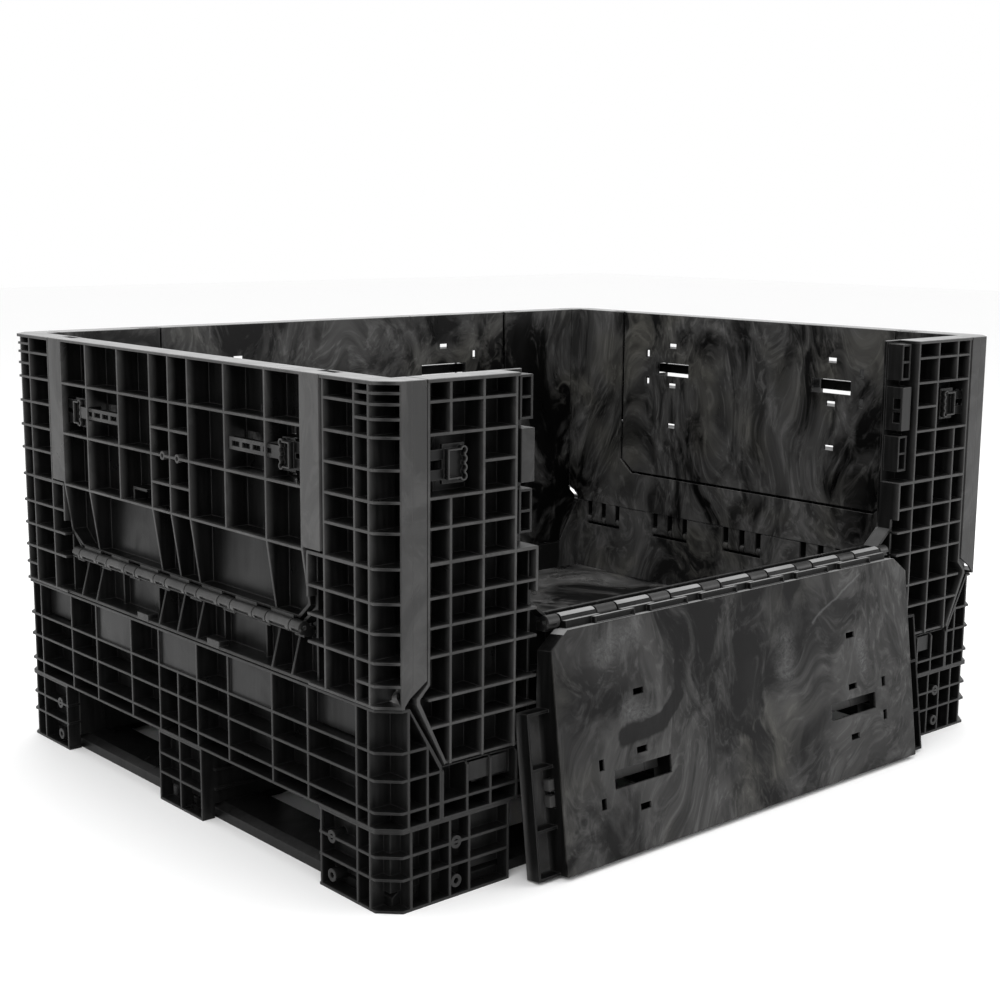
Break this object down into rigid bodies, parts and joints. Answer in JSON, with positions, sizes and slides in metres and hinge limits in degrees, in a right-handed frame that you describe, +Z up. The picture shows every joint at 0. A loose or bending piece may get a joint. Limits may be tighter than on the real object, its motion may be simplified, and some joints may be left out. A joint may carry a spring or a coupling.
{
  "type": "collapsible bulk container",
  "caption": "Collapsible bulk container on a pallet base, with fold-down side walls and a latched drop door in every wall, the front door hanging open.",
  "frame": {"origin": "middle of the container's footprint, on the ground under the centre runner", "axes": "+Z up, +X along the long side, -Y towards the side whose door hangs open"},
  "size_m": [1.64, 1.3552, 0.855],
  "materials": {
    "base_plastic": "satin, flow-marbled recycled polyethylene",
    "wall_plastic": "satin, flow-marbled recycled polyethylene",
    "door_plastic": "satin, flow-marbled recycled polyethylene",
    "latch_plastic": "satin, flow-marbled recycled polyethylene",
    "zinc_steel": "zinc plated"
  },
  "bodies": {
    "base": {"base_deck": "base_plastic", "base_side_front": "base_plastic", "base_side_right": "base_plastic", "base_side_rear": "base_plastic", "base_side_left": "base_plastic", "base_corners_right": "base_plastic", "base_corners_left": "base_plastic", "corner_feet": "base_plastic", "long_side_feet": "base_plastic", "short_side_feet": "base_plastic", "centre_foot": "base_plastic", "runner_left": "base_plastic", "runner_centre": "base_plastic", "runner_right": "base_plastic", "cross_runner_front": "base_plastic", "cross_runner_centre": "base_plastic", "cross_runner_rear": "base_plastic", "runner_screws": "zinc_steel", "front_wall_hinge_pins": "zinc_steel", "right_wall_hinge_pins": "zinc_steel", "rear_wall_hinge_pins": "zinc_steel", "left_wall_hinge_pins": "zinc_steel", "right_wall_beam": "wall_plastic", "left_wall_beam": "wall_plastic", "right_wall_columns": "wall_plastic", "left_wall_columns": "wall_plastic", "right_corner_posts": "wall_plastic", "left_corner_posts": "wall_plastic", "right_door_rod": "zinc_steel", "left_door_rod": "zinc_steel"},
    "front_wall": {"front_wall_frame": "wall_plastic", "front_door_rod": "zinc_steel"},
    "rear_wall": {"rear_wall_frame": "wall_plastic", "rear_door_rod": "zinc_steel"},
    "front_door": {"front_door_panel": "door_plastic"},
    "front_door_latch_left": {"front_door_latch_left": "latch_plastic"},
    "front_door_latch_right": {"front_door_latch_right": "latch_plastic"},
    "right_door": {"right_door_panel": "door_plastic"},
    "right_door_latch_left": {"right_door_latch_left": "latch_plastic"},
    "right_door_latch_right": {"right_door_latch_right": "latch_plastic"},
    "rear_door": {"rear_door_panel": "door_plastic"},
    "rear_door_latch_left": {"rear_door_latch_left": "latch_plastic"},
    "rear_door_latch_right": {"rear_door_latch_right": "latch_plastic"},
    "left_door": {"left_door_panel": "door_plastic"},
    "left_door_latch_left": {"left_door_latch_left": "latch_plastic"},
    "left_door_latch_right": {"left_door_latch_right": "latch_plastic"},
    "front_wall_latch_left": {"front_wall_latch_left": "latch_plastic"},
    "front_wall_latch_right": {"front_wall_latch_right": "latch_plastic"},
    "rear_wall_latch_left": {"rear_wall_latch_left": "latch_plastic"},
    "rear_wall_latch_right": {"rear_wall_latch_right": "latch_plastic"}
  },
  "joints": [
    {"name": "front_wall_fold", "type": "hinge", "parent": "base", "child": "front_wall", "pos_m": [0, -0.598, 0.2], "axis": [-1, 0, 0], "range_deg": [0, 90]},
    {"name": "rear_wall_fold", "type": "hinge", "parent": "base", "child": "rear_wall", "pos_m": [0, 0.598, 0.2], "axis": [1, 0, 0], "range_deg": [0, 84]},
    {"name": "front_door_swing", "type": "hinge", "parent": "front_wall", "child": "front_door", "pos_m": [0, -0.626, 0.428], "axis": [-1, 0, 0], "range_deg": [0, 172.8]},
    {"name": "rear_door_swing", "type": "hinge", "parent": "rear_wall", "child": "rear_door", "pos_m": [0, 0.626, 0.428], "axis": [-1, 0, 0], "range_deg": [0, 172.8]},
    {"name": "right_door_swing", "type": "hinge", "parent": "base", "child": "right_door", "pos_m": [0.806, 0, 0.428], "axis": [0, 1, 0], "range_deg": [0, 169.5]},
    {"name": "left_door_swing", "type": "hinge", "parent": "base", "child": "left_door", "pos_m": [-0.806, 0, 0.428], "axis": [0, -1, 0], "range_deg": [0, 169.5]},
    {"name": "front_door_latch_left_slide", "type": "slide", "parent": "front_door", "child": "front_door_latch_left", "axis": [-1, 0, 0], "range_m": [0, 0.02]},
    {"name": "front_door_latch_right_slide", "type": "slide", "parent": "front_door", "child": "front_door_latch_right", "axis": [1, 0, 0], "range_m": [0, 0.02]},
    {"name": "right_door_latch_left_slide", "type": "slide", "parent": "right_door", "child": "right_door_latch_left", "axis": [0, -1, 0], "range_m": [0, 0.02]},
    {"name": "right_door_latch_right_slide", "type": "slide", "parent": "right_door", "child": "right_door_latch_right", "axis": [0, 1, 0], "range_m": [0, 0.02]},
    {"name": "rear_door_latch_left_slide", "type": "slide", "parent": "rear_door", "child": "rear_door_latch_left", "axis": [1, 0, 0], "range_m": [0, 0.02]},
    {"name": "rear_door_latch_right_slide", "type": "slide", "parent": "rear_door", "child": "rear_door_latch_right", "axis": [-1, 0, 0], "range_m": [0, 0.02]},
    {"name": "left_door_latch_left_slide", "type": "slide", "parent": "left_door", "child": "left_door_latch_left", "axis": [0, 1, 0], "range_m": [0, 0.02]},
    {"name": "left_door_latch_right_slide", "type": "slide", "parent": "left_door", "child": "left_door_latch_right", "axis": [0, -1, 0], "range_m": [0, 0.02]},
    {"name": "front_wall_latch_left_slide", "type": "slide", "parent": "front_wall", "child": "front_wall_latch_left", "axis": [-1, 0, 0], "range_m": [0, 0.014]},
    {"name": "front_wall_latch_right_slide", "type": "slide", "parent": "front_wall", "child": "front_wall_latch_right", "axis": [1, 0, 0], "range_m": [0, 0.014]},
    {"name": "rear_wall_latch_left_slide", "type": "slide", "parent": "rear_wall", "child": "rear_wall_latch_left", "axis": [1, 0, 0], "range_m": [0, 0.014]},
    {"name": "rear_wall_latch_right_slide", "type": "slide", "parent": "rear_wall", "child": "rear_wall_latch_right", "axis": [-1, 0, 0], "range_m": [0, 0.014]}
  ]
}
